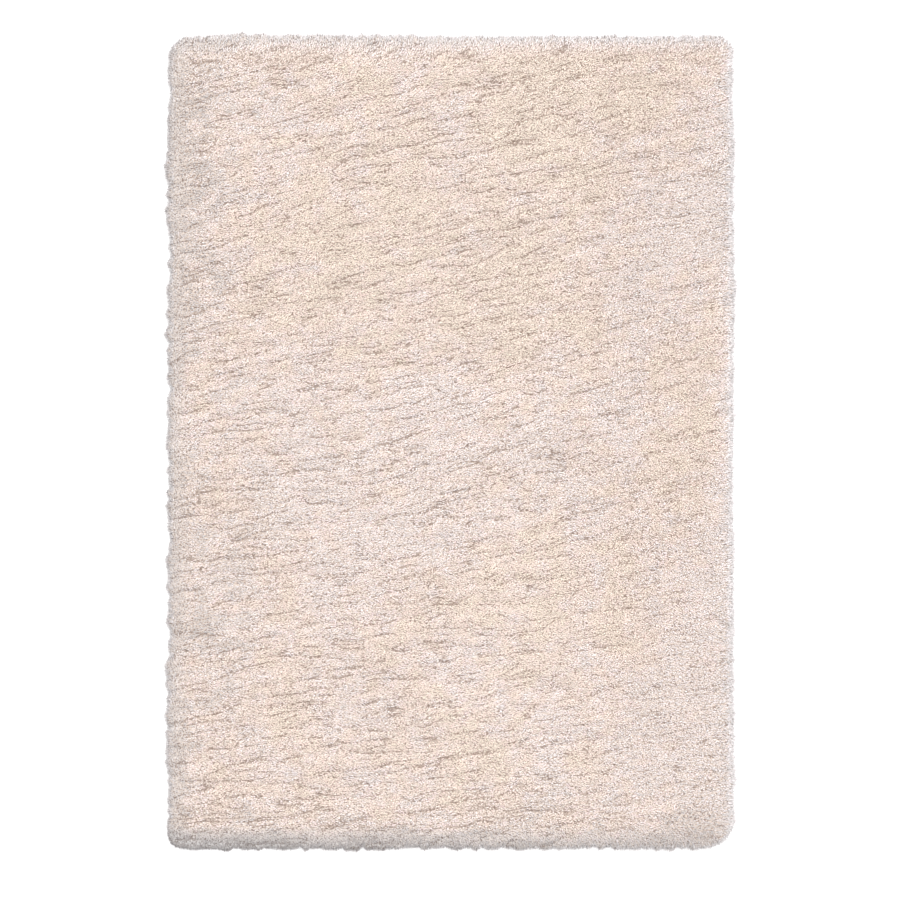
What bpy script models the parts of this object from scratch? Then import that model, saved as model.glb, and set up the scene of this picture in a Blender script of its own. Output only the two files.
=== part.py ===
"""Shag rug, 160 x 230 cm, lying flat with its pile up.

The rug is one cloth: long cut pile tufted into a flat backing. It is one lumpy slab here. Its top is the
level that the tips of the pile reach, with the banks and partings that the lying pile falls into, its sides
are the pile that rolls over the edge, and a ring of locks leans out of the sides and rests on the floor.

Run it with: blender --background --python part.py

Units are metres, +Z is up, +Y runs along the rug, and the origin is under the rug's middle, on the floor.
"""

import math
import random
from collections import namedtuple

import bmesh
import bpy
from mathutils import Vector, noise

# The rug's reach from lock tip to lock tip, and the height of its pile at the highest banks.
RUG_WIDTH = 1.610
RUG_LENGTH = 2.310
PILE_HEIGHT = 0.049

# The side of the slab: it rolls over from the top, is widest a little above the floor, and draws in to the
# edge of the backing. The edge strays in and out a little.
ROLL_OVER = 0.055
WIDEST_LEVEL = 0.017
UNDERCUT = 0.012
EDGE_WAVE = 0.006
EDGE_WAVE_LENGTH = 0.17

# The grid of the top: its rows climb to the right with the banks of pile, so they are close together, and
# its columns are further apart.
CELLS_ACROSS = 26
CELLS_ALONG = 78
ROLL_OVER_STEPS = (0.0, 0.22, 0.56)

# Banks of pile that lie the same way, with sharp crevices between them.
BANK_LENGTH = 0.26
BANK_PITCH = 0.085
BANK_CLIMB = math.tan(math.radians(9))
BANK_DEPTH = 0.016
BANK_SWAY = 0.055
BANK_SWAY_LENGTH = 0.50
CREVICE_SHARPNESS = 0.6

# Locks at the rim: four-sided, one on each stretch of the side wall that is wide enough, their tips flat on
# the floor.
LOCK_REACH = 0.014
LOCK_SHORTEST_SHARE = 0.45
LOCK_LEAN = 0.007
LOCK_NARROWEST = 0.010
LOCK_SPACING_JITTER = 0.25
LOCK_SEED = 23

PILE_COLOUR = (0.80, 0.68, 0.60, 1.0)
PILE_ROUGHNESS = 0.95

# The steps in which a lock grows: its share of the reach, of the root's width, of the root's height and of
# the sideways lean.
LockStep = namedtuple("LockStep", "reach width height lean")
LOCK_STEPS = (
    LockStep(reach=0.55, width=0.70, height=0.72, lean=0.30),
    LockStep(reach=1.00, width=0.34, height=0.34, lean=1.00),
)

# The radius of the line through the roots of the locks at each corner.
Corner = namedtuple("Corner", "side_x side_y radius")
CORNERS = (
    Corner(side_x=-1, side_y=1, radius=0.057),
    Corner(side_x=1, side_y=1, radius=0.033),
    Corner(side_x=1, side_y=-1, radius=0.066),
    Corner(side_x=-1, side_y=-1, radius=0.030),
)

# The main partings, where the pile falls open: the middle, the length, how steeply it climbs to the right,
# and how deep it opens.
Parting = namedtuple("Parting", "x y length climb_deg depth")
PARTINGS = (
    Parting(x=-0.52, y=0.92, length=0.16, climb_deg=12, depth=0.006),
    Parting(x=-0.18, y=0.91, length=0.14, climb_deg=24, depth=0.008),
    Parting(x=-0.17, y=0.83, length=0.26, climb_deg=8, depth=0.008),
    Parting(x=-0.44, y=0.78, length=0.18, climb_deg=22, depth=0.008),
    Parting(x=0.33, y=0.77, length=0.20, climb_deg=20, depth=0.010),
    Parting(x=0.57, y=0.79, length=0.26, climb_deg=4, depth=0.010),
    Parting(x=-0.34, y=0.71, length=0.24, climb_deg=14, depth=0.007),
    Parting(x=0.62, y=0.65, length=0.24, climb_deg=-10, depth=0.008),
    Parting(x=-0.36, y=0.45, length=0.34, climb_deg=15, depth=0.008),
    Parting(x=-0.18, y=0.38, length=0.30, climb_deg=2, depth=0.011),
    Parting(x=0.05, y=0.39, length=0.22, climb_deg=18, depth=0.009),
    Parting(x=-0.62, y=0.27, length=0.20, climb_deg=2, depth=0.007),
    Parting(x=-0.06, y=0.22, length=0.72, climb_deg=4, depth=0.012),
    Parting(x=0.30, y=0.24, length=0.20, climb_deg=16, depth=0.008),
    Parting(x=-0.60, y=0.06, length=0.24, climb_deg=4, depth=0.007),
    Parting(x=0.02, y=0.04, length=0.42, climb_deg=15, depth=0.010),
    Parting(x=0.72, y=0.07, length=0.18, climb_deg=10, depth=0.010),
    Parting(x=-0.37, y=-0.07, length=0.20, climb_deg=12, depth=0.009),
    Parting(x=0.38, y=-0.07, length=0.40, climb_deg=9, depth=0.011),
    Parting(x=-0.74, y=-0.17, length=0.12, climb_deg=-4, depth=0.008),
    Parting(x=-0.48, y=-0.25, length=0.28, climb_deg=10, depth=0.006),
    Parting(x=0.00, y=-0.29, length=0.22, climb_deg=14, depth=0.009),
    Parting(x=0.18, y=-0.30, length=0.20, climb_deg=-6, depth=0.009),
    Parting(x=0.54, y=-0.29, length=0.26, climb_deg=-4, depth=0.007),
    Parting(x=0.32, y=-0.48, length=0.24, climb_deg=-6, depth=0.008),
    Parting(x=-0.60, y=-0.59, length=0.20, climb_deg=-4, depth=0.007),
    Parting(x=-0.06, y=-0.56, length=0.26, climb_deg=-6, depth=0.006),
    Parting(x=0.20, y=-0.70, length=0.32, climb_deg=-2, depth=0.010),
    Parting(x=-0.62, y=-0.81, length=0.34, climb_deg=0, depth=0.007),
    Parting(x=0.02, y=-0.85, length=0.30, climb_deg=10, depth=0.006),
    Parting(x=0.44, y=-0.84, length=0.26, climb_deg=12, depth=0.007),
    Parting(x=-0.28, y=-0.97, length=0.40, climb_deg=2, depth=0.006),
)
PARTING_WIDTH = 0.026


def clear_scene():
    """Removes what the startup file holds."""
    for thing in list(bpy.data.objects):
        bpy.data.objects.remove(thing, do_unlink=True)


def pile_material():
    """The cream pile yarn."""
    material = bpy.data.materials.new("cream_pile")
    material.use_nodes = True
    shader = material.node_tree.nodes["Principled BSDF"]
    shader.inputs["Base Color"].default_value = PILE_COLOUR
    shader.inputs["Roughness"].default_value = PILE_ROUGHNESS
    return material


def parting_depth(x, y):
    """How far the partings lower the top of the pile at a place."""
    depth = 0.0
    for parting in PARTINGS:
        climb = math.radians(parting.climb_deg)
        along = (x - parting.x) * math.cos(climb) + (y - parting.y) * math.sin(climb)
        across = (y - parting.y) * math.cos(climb) - (x - parting.x) * math.sin(climb)
        reach = (along / (0.5 * parting.length)) ** 2 + (across / PARTING_WIDTH) ** 2
        depth = max(depth, parting.depth * math.exp(-reach))
    return depth


def crevice_depth(x, y):
    """How far the top of the pile lies under the highest banks at a place, between and on the banks."""
    sway = BANK_SWAY * noise.noise(Vector((x, y, 0.0)) / BANK_SWAY_LENGTH)
    across = y - BANK_CLIMB * x + sway
    swell = abs(noise.noise(Vector((x / BANK_LENGTH, across / BANK_PITCH, 0.5))))
    return BANK_DEPTH * (1 - swell**CREVICE_SHARPNESS)


def top_level(x, y):
    """The height of the pile's top at a place away from the edge."""
    return PILE_HEIGHT - crevice_depth(x, y) - parting_depth(x, y)


def grid_lines(reach, cells):
    """Places of the grid's lines from one edge to the other: close together where the pile rolls over."""
    rim = [share * ROLL_OVER for share in ROLL_OVER_STEPS]
    span = 2 * (reach - ROLL_OVER)
    inner = [ROLL_OVER + span * step / cells for step in range(cells + 1)]
    return [place - reach for place in rim + inner] + [reach - place for place in reversed(rim)]


def round_corners(x, y, reach_x, reach_y):
    """A place in the square-cornered grid, moved so that the rug's corners are round."""
    for corner in CORNERS:
        into_x = (corner.side_x * x - reach_x) / corner.radius + 1
        into_y = (corner.side_y * y - reach_y) / corner.radius + 1
        if into_x > 0 and into_y > 0:
            round_x = into_x * math.sqrt(1 - 0.5 * into_y**2)
            round_y = into_y * math.sqrt(1 - 0.5 * into_x**2)
            x = corner.side_x * (reach_x + (round_x - 1) * corner.radius)
            y = corner.side_y * (reach_y + (round_y - 1) * corner.radius)
    return x, y


def outward(x, y, reach_x, reach_y):
    """The level direction that points out of the rug at a place near its edge."""
    share_x = max(0.0, 1 - (reach_x - abs(x)) / ROLL_OVER)
    share_y = max(0.0, 1 - (reach_y - abs(y)) / ROLL_OVER)
    return Vector((math.copysign(share_x, x), math.copysign(share_y, y), 0.0)).normalized()


def slab_top(reach_x, reach_y):
    """The lumpy top of the slab, down to its widest line, as a bmesh that is still open below."""
    lines_x = grid_lines(reach_x, CELLS_ACROSS)
    lines_y = grid_lines(reach_y, CELLS_ALONG)
    last_column = len(lines_x) - 1
    last_row = len(lines_y) - 1
    bm = bmesh.new()
    bmesh.ops.create_grid(bm, x_segments=last_column, y_segments=last_row, size=1.0)
    for vert in bm.verts:
        flat_x = lines_x[round((vert.co.x + 1) / 2 * last_column)]
        flat_y = lines_y[round((vert.co.y + 1) / 2 * last_row)]
        flat_y += BANK_CLIMB * flat_x * (1 - (flat_y / reach_y) ** 2)
        inward = min(reach_x - abs(flat_x), reach_y - abs(flat_y))
        roll = math.sqrt(1 - (1 - min(inward / ROLL_OVER, 1)) ** 2)
        x, y = round_corners(flat_x, flat_y, reach_x, reach_y)
        stray = EDGE_WAVE * (1 - roll) * noise.noise(Vector((x, y, 0.0)) / EDGE_WAVE_LENGTH)
        level = WIDEST_LEVEL + roll * (top_level(x, y) - WIDEST_LEVEL)
        vert.co = Vector((x, y, level)) + stray * outward(x, y, reach_x, reach_y)
    return bm


def space_locks(bm, draw):
    """Halves the long stretches of the widest line, and makes its points uneven along it, one stretch for
    each lock."""
    rim = [edge for edge in bm.edges if edge.is_boundary]
    longest = 1.5 * RUG_LENGTH / CELLS_ALONG
    bmesh.ops.subdivide_edges(bm, edges=[edge for edge in rim if edge.calc_length() > longest], cuts=1)
    moves = {}
    for vert in (vert for vert in bm.verts if vert.is_boundary):
        neighbours = [edge.other_vert(vert) for edge in vert.link_edges if edge.is_boundary]
        share = draw.uniform(0, LOCK_SPACING_JITTER)
        moves[vert] = vert.co.lerp(draw.choice(neighbours).co, share)
    for vert, place in moves.items():
        vert.co = place


def close_below(bm, reach_x, reach_y):
    """Takes the side wall from the widest line down to the floor, drawn in to the backing's edge, closes the
    flat underside, and returns the wall's faces."""
    rim = [edge for edge in bm.edges if edge.is_boundary]
    wall = bmesh.ops.extrude_edge_only(bm, edges=rim)["geom"]
    for vert in (item for item in wall if isinstance(item, bmesh.types.BMVert)):
        vert.co -= UNDERCUT * outward(vert.co.x, vert.co.y, reach_x, reach_y)
        vert.co.z = 0.0
    bmesh.ops.contextual_create(bm, geom=[edge for edge in bm.edges if edge.is_boundary])
    bmesh.ops.recalc_face_normals(bm, faces=bm.faces)
    return [item for item in wall if isinstance(item, bmesh.types.BMFace)]


def grow_lock(bm, root, draw):
    """Draws one lock out of a face of the side wall, in steps that narrow to a tip on the floor."""
    out = Vector((root.normal.x, root.normal.y, 0.0)).normalized()
    sideways = Vector((-out.y, out.x, 0.0))
    start = max(vert.co.dot(out) for vert in root.verts)
    middle = root.calc_center_median().dot(sideways)
    reach = LOCK_REACH * draw.uniform(LOCK_SHORTEST_SHARE, 1.0)
    lean = draw.uniform(-LOCK_LEAN, LOCK_LEAN)
    corners = [(vert.co.dot(sideways) - middle, vert.co.z) for vert in root.verts]
    face = root
    for step in LOCK_STEPS:
        face = bmesh.ops.extrude_discrete_faces(bm, faces=[face])["faces"][0]
        for vert, (aside, height) in zip(face.verts, corners):
            across = middle + step.width * aside + step.lean * lean
            vert.co = out * (start + step.reach * reach) + sideways * across
            vert.co.z = step.height * height


def trim_to_size(bm):
    """Centres the rug over the origin, and brings it to its exact width and length."""
    for axis, size in enumerate((RUG_WIDTH, RUG_LENGTH)):
        low = min(vert.co[axis] for vert in bm.verts)
        high = max(vert.co[axis] for vert in bm.verts)
        for vert in bm.verts:
            vert.co[axis] = (vert.co[axis] - (low + high) / 2) * size / (high - low)


def shag_rug():
    """The whole rug, one closed solid with its middle over the origin."""
    draw = random.Random(LOCK_SEED)
    reach_x = RUG_WIDTH / 2 - LOCK_REACH
    reach_y = RUG_LENGTH / 2 - LOCK_REACH
    bm = slab_top(reach_x, reach_y)
    space_locks(bm, draw)
    wall = close_below(bm, reach_x, reach_y)
    for root in wall:
        if min(edge.calc_length() for edge in root.edges) > LOCK_NARROWEST:
            grow_lock(bm, root, draw)
    trim_to_size(bm)
    mesh = bpy.data.meshes.new("shag_rug")
    bm.to_mesh(mesh)
    bm.free()
    mesh.shade_smooth()
    mesh.materials.append(pile_material())
    return bpy.data.objects.new("shag_rug", mesh)


def main():
    """Builds the rug in a collection of its own."""
    clear_scene()
    collection = bpy.data.collections.new("shag_rug")
    bpy.context.scene.collection.children.link(collection)
    collection.objects.link(shag_rug())


main()
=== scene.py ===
"""The looks of a cream shag rug, 160 x 230 cm, lying flat with its pile up.

The rug is a woven backing under long cut pile. The pile is made in three depths: a dense bed, in which
the yarns stand too close to be told apart, the yarn ends that lie over it and make all that shows from
above, and the locks at the rim, which hang over the edge of the backing and rest on the floor.

Units are metres, +Z is up, +Y runs along the rug, and the origin is under the rug's middle, on the floor.
"""

import logging
import math
from dataclasses import dataclass
from dataclasses import field
from enum import Enum

import bmesh
import bpy
from bmesh.types import BMesh, BMVert
from bpy.types import Material, Mesh, NodeInputs, NodeOutputs, NodeSocket, NodeTree, Object
from mathutils import Matrix
from mathutils import Vector
from mathutils import noise


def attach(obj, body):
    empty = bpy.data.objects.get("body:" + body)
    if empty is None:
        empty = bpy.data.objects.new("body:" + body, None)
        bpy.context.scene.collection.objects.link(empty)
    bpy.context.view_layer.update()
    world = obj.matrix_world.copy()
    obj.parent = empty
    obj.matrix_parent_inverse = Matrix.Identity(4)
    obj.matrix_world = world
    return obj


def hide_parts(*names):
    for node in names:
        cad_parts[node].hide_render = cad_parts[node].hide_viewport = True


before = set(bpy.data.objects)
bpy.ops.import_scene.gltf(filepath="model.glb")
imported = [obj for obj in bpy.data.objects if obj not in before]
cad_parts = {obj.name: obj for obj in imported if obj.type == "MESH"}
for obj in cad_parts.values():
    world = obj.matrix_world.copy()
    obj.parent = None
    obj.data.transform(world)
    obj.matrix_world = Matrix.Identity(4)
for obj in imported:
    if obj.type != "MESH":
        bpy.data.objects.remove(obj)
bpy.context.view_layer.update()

NODE = "shag_rug"
BODY = "root"
MAP_NAME = "OFBake"
UP = Vector((0.0, 0.0, 1.0))
ACROSS = Vector((0.0, 1.0, 0.0))
WHITE = (1.0, 1.0, 1.0, 1.0)

# The kinds of node that are used most.
MATH = "ShaderNodeMath"
VECTOR_MATH = "ShaderNodeVectorMath"
SEPARATE = "ShaderNodeSeparateXYZ"
COMBINE = "ShaderNodeCombineXYZ"
MAP_RANGE = "ShaderNodeMapRange"
MIX = "ShaderNodeMix"
RANDOM = "FunctionNodeRandomValue"
NAMED = "GeometryNodeInputNamedAttribute"
STORE = "GeometryNodeStoreNamedAttribute"

log = logging.getLogger(NODE)


def linear(colour: str) -> tuple[float, float, float, float]:
    """Turns a colour from sRGB hex into the linear numbers of a shader's socket.

    Args:
        colour: the colour as #RRGGBB.

    Returns:
        Linear red, green, blue, and an alpha of 1.
    """
    parts = [int(colour[start : start + 2], 16) / 255 for start in (1, 3, 5)]
    lit = [part / 12.92 if part <= 0.04045 else ((part + 0.055) / 1.055) ** 2.4 for part in parts]
    return lit[0], lit[1], lit[2], 1.0


def add_node(tree: NodeTree, kind: str, inputs: dict | None = None, **settings: object) -> NodeSocket | None:
    """Adds one node to a tree, with its settings, its values and its links.

    Args:
        tree: the tree that gets the node.
        kind: the node's type, such as ShaderNodeMath.
        inputs: for each input, by name or number, a value or the output that feeds it.
        settings: the node's own properties.

    Returns:
        The first of the node's outputs that its settings leave in use, if it has one.
    """
    node = tree.nodes.new(kind)
    for name, value in settings.items():
        setattr(node, name, value)
    for key, value in (inputs or {}).items():
        if isinstance(value, NodeSocket):
            tree.links.new(value, node.inputs[key])
        else:
            node.inputs[key].default_value = value
    return next((output for output in node.outputs if output.enabled), None)


def start_material(name: str, values: dict) -> tuple[Material, NodeTree, NodeInputs]:
    """Starts a material with the values that are the same all over it.

    Args:
        name: the material's name.
        values: each value by the name of its socket.

    Returns:
        The material, its tree and the sockets of its shader.
    """
    material = bpy.data.materials.new(name)
    material.use_nodes = True
    sockets = material.node_tree.nodes["Principled BSDF"].inputs
    for label, value in values.items():
        sockets[label].default_value = value
    return material, material.node_tree, sockets


def add_object(name: str, mesh: Mesh) -> Object:
    """Puts a mesh into the scene as an object at the origin.

    Args:
        name: the object's name.
        mesh: the mesh, with its place in its own points.

    Returns:
        The new object.
    """
    piece = bpy.data.objects.new(name, mesh)
    bpy.context.scene.collection.objects.link(piece)
    return piece


def join_rings(bm: BMesh, lower: list[BMVert], upper: list[BMVert]) -> None:
    """Joins two rings of vertices, each counter-clockwise from above, with a wall that faces outwards."""
    for here in range(len(lower)):
        bm.faces.new((lower[here - 1], lower[here], upper[here], upper[here - 1]))


def eased(value: float, start: float, end: float) -> float:
    """How far a value has come from a start to an end, from 0 to 1, easing in and out."""
    share = min(1.0, max(0.0, (value - start) / (end - start)))
    return share * share * (3 - 2 * share)


# ---------------------------------------------------------------------------------------------------------
# The shape of the pile
# ---------------------------------------------------------------------------------------------------------


@dataclass(frozen=True)
class Corner:
    """One rounded corner of the rug's outline."""

    side_x: int
    side_y: int
    radius: float


@dataclass(frozen=True)
class Parting:
    """A place where the pile falls open: its middle, its length, its climb to the right and its depth."""

    x: float
    y: float
    length: float
    climb_deg: float
    depth: float

    def opening(self, x: float, y: float, width: float) -> float:
        """How deep the parting is open at a place.

        Args:
            x, y: the place across and along the rug.
            width: the width over which a parting opens.

        Returns:
            The depth in metres.
        """
        climb = math.radians(self.climb_deg)
        along = (x - self.x) * math.cos(climb) + (y - self.y) * math.sin(climb)
        across = (y - self.y) * math.cos(climb) - (x - self.x) * math.sin(climb)
        reach = (along / (0.5 * self.length)) ** 2 + (across / width) ** 2
        return self.depth * math.exp(-reach) if reach < 9 else 0.0


@dataclass(frozen=True)
class Zone:
    """A part of the rug where there is more of something: how much, where, and how far it reaches each way,
    which is the whole rug where it isn't given."""

    share: float
    x: float = 0.0
    over_x: float = math.inf
    y: float = 0.0
    over_y: float = math.inf

    def at(self, x: float, y: float) -> float:
        """How much there is at a place."""
        return self.share * math.exp(-(((x - self.x) / self.over_x) ** 2) - ((y - self.y) / self.over_y) ** 2)


@dataclass(frozen=True)
class Patches:
    """Patches of warmer and cooler cream: how strong they are, where they are read, and their size."""

    share: float
    layer: float
    size: float

    def at(self, x: float, y: float) -> float:
        """How much warmer a place is than the rest."""
        return self.share * noise.noise(Vector((x, y, self.layer)) / self.size)


@dataclass(frozen=True)
class Sway:
    """A slow bend in the lie of the pile: how far it strays, over what length, and where it is read."""

    reach: float
    length: float
    layer: float

    def at(self, x: float, y: float) -> float:
        """How far the lie strays at a place."""
        return self.reach * noise.noise(Vector((x, y, 0.0)) / self.length + self.layer * UP)


@dataclass(frozen=True)
class Ripple:
    """Small sheaves of pile on the banks: their length and pitch, how deep and how sharp the creases between
    them are, where they are read, the swell at which they are level with their bank, and the least slope
    with which a crease is told from the swell beside it."""

    length: float
    pitch: float
    depth: float
    sharpness: float
    layer: float
    even_swell: float = 0.45
    least_slope: float = 0.2

    def swell(self, lie: Vector) -> float:
        """How much the pile swells at a place: 0 in a crease, and under 1 to either side of it."""
        return noise.noise(Vector((lie.x / self.length, lie.y / self.pitch, self.layer)))

    def aside(self, lie: Vector) -> float:
        """How far to the side of the nearest crease a place lies.

        Args:
            lie: the place in the lie of the pile.

        Returns:
            The distance, with a sign for the side.
        """
        step = 0.15 * self.pitch
        slope = (self.swell(lie + step * ACROSS) - self.swell(lie - step * ACROSS)) / (2 * step)
        return self.swell(lie) / max(abs(slope), self.least_slope / self.pitch)

    def level(self, lie: Vector) -> float:
        """How far the sheaves stand over the banks' own level at a place, negative between two sheaves."""
        return self.depth * (abs(self.swell(lie)) ** self.sharpness - self.even_swell)


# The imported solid's corners, with the one at the upper left a little tighter, as in the photo.
CORNERS = (
    Corner(side_x=-1, side_y=1, radius=0.045),
    Corner(side_x=1, side_y=1, radius=0.033),
    Corner(side_x=1, side_y=-1, radius=0.066),
    Corner(side_x=-1, side_y=-1, radius=0.030),
)

# The rug from tip to tip, and how far the locks at its rim reach past their roots.
RUG_WIDTH = 1.610
RUG_LENGTH = 2.310
LOCK_REACH = 0.014

# From the rug's middle to the roots of the locks, across and along.
RIM_X = RUG_WIDTH / 2 - LOCK_REACH
RIM_Y = RUG_LENGTH / 2 - LOCK_REACH

# Each parting's x, y, length, climb in degrees and depth, from the head of the rug to its foot.
PARTINGS = (
    Parting(-0.52, 0.92, 0.16, 12, 0.006),
    Parting(-0.18, 0.91, 0.14, 24, 0.008),
    Parting(-0.17, 0.83, 0.26, 8, 0.008),
    Parting(-0.44, 0.78, 0.18, 22, 0.008),
    Parting(0.33, 0.77, 0.20, 20, 0.010),
    Parting(0.57, 0.79, 0.26, 4, 0.010),
    Parting(-0.34, 0.71, 0.24, 14, 0.007),
    Parting(0.62, 0.65, 0.24, -10, 0.008),
    Parting(-0.36, 0.45, 0.34, 15, 0.008),
    Parting(-0.18, 0.38, 0.30, 2, 0.011),
    Parting(0.05, 0.39, 0.22, 18, 0.009),
    Parting(-0.62, 0.27, 0.20, 2, 0.007),
    Parting(-0.06, 0.22, 0.72, 4, 0.012),
    Parting(0.30, 0.24, 0.20, 16, 0.008),
    Parting(-0.60, 0.06, 0.24, 4, 0.007),
    Parting(0.02, 0.04, 0.42, 15, 0.010),
    Parting(0.72, 0.07, 0.18, 10, 0.010),
    Parting(-0.37, -0.07, 0.20, 12, 0.009),
    Parting(0.38, -0.07, 0.40, 9, 0.011),
    Parting(-0.74, -0.17, 0.12, -4, 0.008),
    Parting(-0.48, -0.25, 0.28, 10, 0.006),
    Parting(0.00, -0.29, 0.22, 14, 0.009),
    Parting(0.18, -0.30, 0.20, -6, 0.009),
    Parting(0.54, -0.29, 0.26, -4, 0.007),
    Parting(0.32, -0.48, 0.24, -6, 0.008),
    Parting(-0.60, -0.59, 0.20, -4, 0.007),
    Parting(-0.06, -0.56, 0.26, -6, 0.006),
    Parting(0.20, -0.70, 0.32, -2, 0.010),
    Parting(-0.62, -0.81, 0.34, 0, 0.007),
    Parting(0.02, -0.85, 0.30, 10, 0.006),
    Parting(0.44, -0.84, 0.26, 12, 0.007),
    Parting(-0.28, -0.97, 0.40, 2, 0.006),
)


@dataclass(frozen=True)
class PileForm:
    """The form that the lying pile takes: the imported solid's banks and partings, made calmer, with finer
    sheaves on them, creases that gape between the sheaves, and a tousled part on the right."""

    height: float = 0.049
    roll_over: float = 0.055
    widest_level: float = 0.017
    edge_wave: float = 0.006
    edge_wave_length: float = 0.17
    bank_length: float = 0.26
    bank_pitch: float = 0.085
    bank_climb: float = math.tan(math.radians(9))
    bank_depth: float = 0.016
    bank_middle: float = 0.75
    bank_sway: float = 0.055
    bank_sway_length: float = 0.50
    crevice_sharpness: float = 0.6
    parting_width: float = 0.026
    calm: float = 0.36
    ripples: tuple[Ripple, ...] = (
        Ripple(length=0.250, pitch=0.034, depth=0.006, sharpness=0.45, layer=7.5),
        Ripple(length=0.130, pitch=0.018, depth=0.004, sharpness=0.50, layer=21.5),
    )
    lie_climb_deg: float = 11.0
    lie_turn_deg: float = 5.0
    sways: tuple[Sway, ...] = (Sway(0.030, 0.50, 31.0), Sway(0.011, 0.060, 37.0))
    gape_length: float = 0.085
    gape_pitch: float = 0.016
    gape_from: float = -0.20
    gape_to: float = 0.10
    tousle_from: float = 0.20
    tousle_to: float = 0.55
    tousle_calm: float = 0.35
    tousle_close: float = 0.30

    def bank_level(self, x: float, y: float) -> float:
        """The level of the pile's tips away from the edge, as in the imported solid.

        Args:
            x, y: the place across and along the rug.

        Returns:
            The height over the floor.
        """
        sway = self.bank_sway * noise.noise(Vector((x, y, 0.0)) / self.bank_sway_length)
        across = y - self.bank_climb * x + sway
        swell = abs(noise.noise(Vector((x / self.bank_length, across / self.bank_pitch, 0.5))))
        crevice = self.bank_depth * (1 - swell**self.crevice_sharpness)
        parting = max(parting.opening(x, y, self.parting_width) for parting in PARTINGS)
        return self.height - crevice - parting

    def lie(self, x: float, y: float) -> Vector:
        """The place in the lie of the pile: how far along it, which is to the right and a little up the rug,
        and how far across it."""
        climb = math.tan(math.radians(self.lie_climb_deg + self.lie_turn_deg * y / RIM_Y))
        return Vector((x, y - climb * x + sum(sway.at(x, y) for sway in self.sways), 0.0))

    def crease_open(self, lie: Vector) -> float:
        """How far the creases gape at a place, from 0 to 1: they close now and then on their way."""
        swell = noise.noise(Vector((lie.x / self.gape_length, lie.y / self.gape_pitch, 53.0)))
        return eased(swell, self.gape_from, self.gape_to)

    def lie_angle(self, x: float, y: float) -> float:
        """The direction of the lie at a place, as a turn from the rug's right.

        Args:
            x, y: the place across and along the rug.

        Returns:
            The angle.
        """
        step = 0.004
        slope_x = self.lie(x + step, y).y - self.lie(x - step, y).y
        slope_y = self.lie(x, y + step).y - self.lie(x, y - step).y
        return math.atan2(-slope_x, slope_y)

    def tousled(self, x: float) -> float:
        """How tousled the pile is, from 0 on the rug's left to 1 on its right."""
        return eased(x, self.tousle_from, self.tousle_to)

    def dressed_level(self, x: float, y: float) -> float:
        """The level of the pile's tips as it shows: the banks a little calmer, with the sheaves on them.

        Args:
            x, y: the place across and along the rug.

        Returns:
            The height over the floor.
        """
        mean = self.height - self.bank_middle * self.bank_depth
        bank = mean + self.calm * (self.bank_level(x, y) - mean)
        lie = self.lie(x, y)
        sheaves = sum(ripple.level(lie) for ripple in self.ripples)
        return bank + sheaves * (1 - self.tousle_calm * self.tousled(x))

    def edge_share(self, x: float, y: float, over_x: float, over_y: float) -> tuple[float, float]:
        """How near a place is to each edge.

        Args:
            x, y: the place across and along the rug.
            over_x, over_y: how far inside a side's and an end's edge it starts to count.

        Returns:
            For the sides and for the ends, 0 inside and 1 at the edge.
        """
        across = max(0.0, 1 - (RIM_X - abs(x)) / over_x)
        along = max(0.0, 1 - (RIM_Y - abs(y)) / over_y)
        return min(across, 1.0), min(along, 1.0)

    def outward(self, x: float, y: float, over_x: float, over_y: float) -> Vector:
        """The level direction that points out of the rug at a place near its edge, as long as it is near.

        Args:
            x, y: the place across and along the rug.
            over_x, over_y: how far inside a side's and an end's edge it starts to count.

        Returns:
            The direction, with no length inside and a length of 1 at the edge.
        """
        across, along = self.edge_share(x, y, over_x, over_y)
        out = Vector((math.copysign(across, x), math.copysign(along, y), 0.0))
        return out / max(out.length, 1.0)

    def round_corners(self, x: float, y: float) -> tuple[float, float]:
        """Moves a place in a square-cornered grid so that the rug's corners are round.

        Args:
            x, y: the place across and along the rug.

        Returns:
            The moved place.
        """
        for corner in CORNERS:
            into_x = (corner.side_x * x - RIM_X) / corner.radius + 1
            into_y = (corner.side_y * y - RIM_Y) / corner.radius + 1
            if into_x > 0 and into_y > 0:
                round_x = into_x * math.sqrt(1 - 0.5 * into_y**2)
                round_y = into_y * math.sqrt(1 - 0.5 * into_x**2)
                x = corner.side_x * (RIM_X + (round_x - 1) * corner.radius)
                y = corner.side_y * (RIM_Y + (round_y - 1) * corner.radius)
        return x, y


# ---------------------------------------------------------------------------------------------------------
# Finishes
# ---------------------------------------------------------------------------------------------------------

# The pile lies over to the right and a little up the rug.
COMB_ANGLE = math.radians(15)

# A yarn's map: its shade runs over the first direction, from YARN_MAP_LEFT over YARN_MAP_SHADES, and its
# length takes YARN_MAP_SPAN of the second. Each yarn is YARN_MAP_WIDTH wide there.
YARN_MAP_LEFT = 0.02
YARN_MAP_SHADES = 0.96
YARN_MAP_LOW = 0.05
YARN_MAP_SPAN = 0.30
YARN_MAP_WIDTH = 0.0032


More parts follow.
